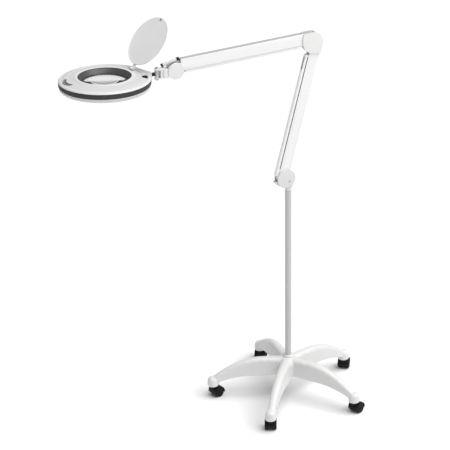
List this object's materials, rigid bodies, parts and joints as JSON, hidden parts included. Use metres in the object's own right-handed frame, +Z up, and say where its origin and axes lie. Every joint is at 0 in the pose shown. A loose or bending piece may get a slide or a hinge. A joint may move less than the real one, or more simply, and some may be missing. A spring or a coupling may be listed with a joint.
{
  "type": "magnifying lamp",
  "caption": "Free-standing magnifying lamp: round lens head with a lid on two spring-balanced arms, a slim pole and a star base on casters.",
  "frame": {"origin": "on the floor, under the middle of the lamp's box in plan, with the arms straightened towards the head as stored", "axes": "+Z up along the pole; the head points towards -X and the arms lie in a plane parallel to XZ"},
  "size_m": [0.97, 0.5002, 1.2944],
  "materials": {
    "white_plastic": "satin",
    "white_paint": "satin",
    "grey_paint": "satin",
    "pale_plastic": "matte",
    "dark_plastic": "matte",
    "black_plastic": "satin",
    "grey_rubber": "matte",
    "black_rubber": "matte",
    "steel": "satin",
    "lens_glass": "gloss",
    "frosted_plastic": "matte",
    "circuit": "matte"
  },
  "bodies": {
    "base": {"star_base": "white_plastic", "pole": "grey_paint", "pole_collar": "white_plastic", "pole_screw": "steel"},
    "caster_1": {"caster_1_hood": "black_plastic"},
    "caster_1_left": {"caster_1_left_wheel": "black_rubber"},
    "caster_1_right": {"caster_1_right_wheel": "black_rubber"},
    "caster_2": {"caster_2_hood": "black_plastic"},
    "caster_2_left": {"caster_2_left_wheel": "black_rubber"},
    "caster_2_right": {"caster_2_right_wheel": "black_rubber"},
    "caster_3": {"caster_3_hood": "black_plastic"},
    "caster_3_left": {"caster_3_left_wheel": "black_rubber"},
    "caster_3_right": {"caster_3_right_wheel": "black_rubber"},
    "caster_4": {"caster_4_hood": "black_plastic"},
    "caster_4_left": {"caster_4_left_wheel": "black_rubber"},
    "caster_4_right": {"caster_4_right_wheel": "black_rubber"},
    "caster_5": {"caster_5_hood": "black_plastic"},
    "caster_5_left": {"caster_5_left_wheel": "black_rubber"},
    "caster_5_right": {"caster_5_right_wheel": "black_rubber"},
    "knuckle": {"knuckle_core": "white_plastic", "knuckle_front_cover": "white_plastic", "knuckle_back_cover": "white_plastic", "knuckle_arm_pin": "steel", "knuckle_link_pin": "steel"},
    "lower_arm": {"lower_arm_channel": "white_paint", "lower_arm_spring": "steel", "lower_spring_anchor": "steel"},
    "lower_link": {"lower_link": "white_paint"},
    "elbow": {"elbow_spacer": "white_plastic", "elbow_front_cover": "white_plastic", "elbow_back_cover": "white_plastic", "elbow_middle_pin": "steel", "elbow_lower_pin": "steel", "elbow_upper_pin": "steel"},
    "upper_arm": {"upper_arm_channel": "white_paint", "upper_arm_spring": "steel", "upper_spring_anchor": "steel"},
    "upper_link": {"upper_link": "white_paint"},
    "wrist": {"wrist_front_cover": "white_plastic", "wrist_back_cover": "white_plastic", "wrist_middle_pin": "steel", "wrist_arm_pin": "steel"},
    "fork": {"tilt_fork": "white_plastic", "cable_sleeve": "pale_plastic"},
    "yoke": {"yoke": "white_plastic", "swing_bolt": "steel"},
    "head": {"neck_post": "steel", "top_cover": "white_plastic", "bottom_cover": "white_plastic", "rubber_band": "grey_rubber", "lens_shade": "dark_plastic", "lens": "lens_glass", "lens_ring": "dark_plastic", "led_board": "circuit", "diffuser": "frosted_plastic", "driver_board": "circuit", "lid_pin": "steel"},
    "lid": {"lid": "pale_plastic"},
    "switch": {"switch_button": "black_plastic"}
  },
  "joints": [
    {"name": "caster_1_swivel", "type": "hinge", "parent": "base", "child": "caster_1", "pos_m": [0.45018, 0.03544, 0.041], "axis": [0, 0, 1], "continuous": true},
    {"name": "caster_1_left_roll", "type": "hinge", "parent": "caster_1", "child": "caster_1_left", "pos_m": [0.45851, 0.0467, 0.0165], "axis": [-0.8039, 0.5948, 0], "continuous": true},
    {"name": "caster_1_right_roll", "type": "hinge", "parent": "caster_1", "child": "caster_1_right", "pos_m": [0.45851, 0.0467, 0.0165], "axis": [-0.8039, 0.5948, 0], "continuous": true},
    {"name": "caster_2_swivel", "type": "hinge", "parent": "base", "child": "caster_2", "pos_m": [0.22754, 0.21254, 0.041], "axis": [0, 0, 1], "continuous": true},
    {"name": "caster_2_left_roll", "type": "hinge", "parent": "caster_2", "child": "caster_2_left", "pos_m": [0.23653, 0.22326, 0.0165], "axis": [-0.766, 0.6428, 0], "continuous": true},
    {"name": "caster_2_right_roll", "type": "hinge", "parent": "caster_2", "child": "caster_2_right", "pos_m": [0.23653, 0.22326, 0.0165], "axis": [-0.766, 0.6428, 0], "continuous": true},
    {"name": "caster_3_swivel", "type": "hinge", "parent": "base", "child": "caster_3", "pos_m": [-0.00969, 0.05552, 0.041], "axis": [0, 0, 1], "continuous": true},
    {"name": "caster_3_left_roll", "type": "hinge", "parent": "caster_3", "child": "caster_3_left", "pos_m": [0.00386, 0.05903, 0.0165], "axis": [-0.2504, 0.9681, 0], "continuous": true},
    {"name": "caster_3_right_roll", "type": "hinge", "parent": "caster_3", "child": "caster_3_right", "pos_m": [0.00386, 0.05903, 0.0165], "axis": [-0.2504, 0.9681, 0], "continuous": true},
    {"name": "caster_4_swivel", "type": "hinge", "parent": "base", "child": "caster_4", "pos_m": [0.06633, -0.21862, 0.041], "axis": [0, 0, 1], "continuous": true},
    {"name": "caster_4_left_roll", "type": "hinge", "parent": "caster_4", "child": "caster_4_left", "pos_m": [0.07236, -0.20598, 0.0165], "axis": [-0.9026, 0.4305, 0], "continuous": true},
    {"name": "caster_4_right_roll", "type": "hinge", "parent": "caster_4", "child": "caster_4_right", "pos_m": [0.07236, -0.20598, 0.0165], "axis": [-0.9026, 0.4305, 0], "continuous": true},
    {"name": "caster_5_swivel", "type": "hinge", "parent": "base", "child": "caster_5", "pos_m": [0.35055, -0.23103, 0.041], "axis": [0, 0, 1], "continuous": true},
    {"name": "caster_5_left_roll", "type": "hinge", "parent": "caster_5", "child": "caster_5_left", "pos_m": [0.36318, -0.225, 0.0165], "axis": [-0.4305, 0.9026, 0], "continuous": true},
    {"name": "caster_5_right_roll", "type": "hinge", "parent": "caster_5", "child": "caster_5_right", "pos_m": [0.36318, -0.225, 0.0165], "axis": [-0.4305, 0.9026, 0], "continuous": true},
    {"name": "lamp_turn", "type": "hinge", "parent": "base", "child": "knuckle", "pos_m": [0.21698, -0.02923, 0.712], "axis": [0, 0, 1], "range_deg": [-175, 175]},
    {"name": "lower_arm_tilt", "type": "hinge", "parent": "knuckle", "child": "lower_arm", "pos_m": [0.19674, -0.02923, 0.75697], "axis": [0, 1, 0], "range_deg": [-45, 35]},
    {"name": "lower_link_tilt", "type": "hinge", "parent": "knuckle", "child": "lower_link", "pos_m": [0.18274, -0.02923, 0.76074], "axis": [0, 1, 0], "range_deg": [-45, 35]},
    {"name": "elbow_level", "type": "hinge", "parent": "lower_arm", "child": "elbow", "pos_m": [0.30798, -0.02923, 1.16922], "axis": [0, 1, 0], "range_deg": [-35, 45]},
    {"name": "upper_arm_tilt", "type": "hinge", "parent": "elbow", "child": "upper_arm", "pos_m": [0.29315, -0.02923, 1.18748], "axis": [0, 1, 0], "range_deg": [-35, 50]},
    {"name": "upper_link_tilt", "type": "hinge", "parent": "elbow", "child": "upper_link", "pos_m": [0.29398, -0.02923, 1.173], "axis": [0, 1, 0], "range_deg": [-35, 50]},
    {"name": "wrist_level", "type": "hinge", "parent": "upper_arm", "child": "wrist", "pos_m": [-0.14313, -0.02923, 1.16232], "axis": [0, 1, 0], "range_deg": [-50, 35]},
    {"name": "head_tilt", "type": "hinge", "parent": "wrist", "child": "fork", "pos_m": [-0.1423, -0.02923, 1.14784], "axis": [0, 1, 0], "range_deg": [-60, 35], "deforming": ["cable_sleeve"]},
    {"name": "head_roll", "type": "hinge", "parent": "fork", "child": "yoke", "pos_m": [-0.1823, -0.02923, 1.14434], "axis": [1, 0, 0], "range_deg": [-90, 90]},
    {"name": "head_swing", "type": "hinge", "parent": "yoke", "child": "head", "pos_m": [-0.1973, -0.02923, 1.14434], "axis": [0, 0, 1], "range_deg": [-50, 50]},
    {"name": "lid_hinge", "type": "hinge", "parent": "head", "child": "lid", "pos_m": [-0.26516, -0.01196, 1.16434], "axis": [-0.1908, 0.9816, 0], "range_deg": [-129.5, 0]},
    {"name": "switch_press", "type": "slide", "parent": "head", "child": "switch", "axis": [0, 0, -1], "range_m": [0, 0.0012], "stiffness_N_per_m": 900, "springref_m": -0.0008}
  ],
  "couplings": [
    {"joint": "lower_link_tilt", "follows": "lower_arm_tilt", "ratio": 1},
    {"joint": "elbow_level", "follows": "lower_arm_tilt", "ratio": -1},
    {"joint": "upper_link_tilt", "follows": "upper_arm_tilt", "ratio": 1},
    {"joint": "wrist_level", "follows": "upper_arm_tilt", "ratio": -1}
  ]
}
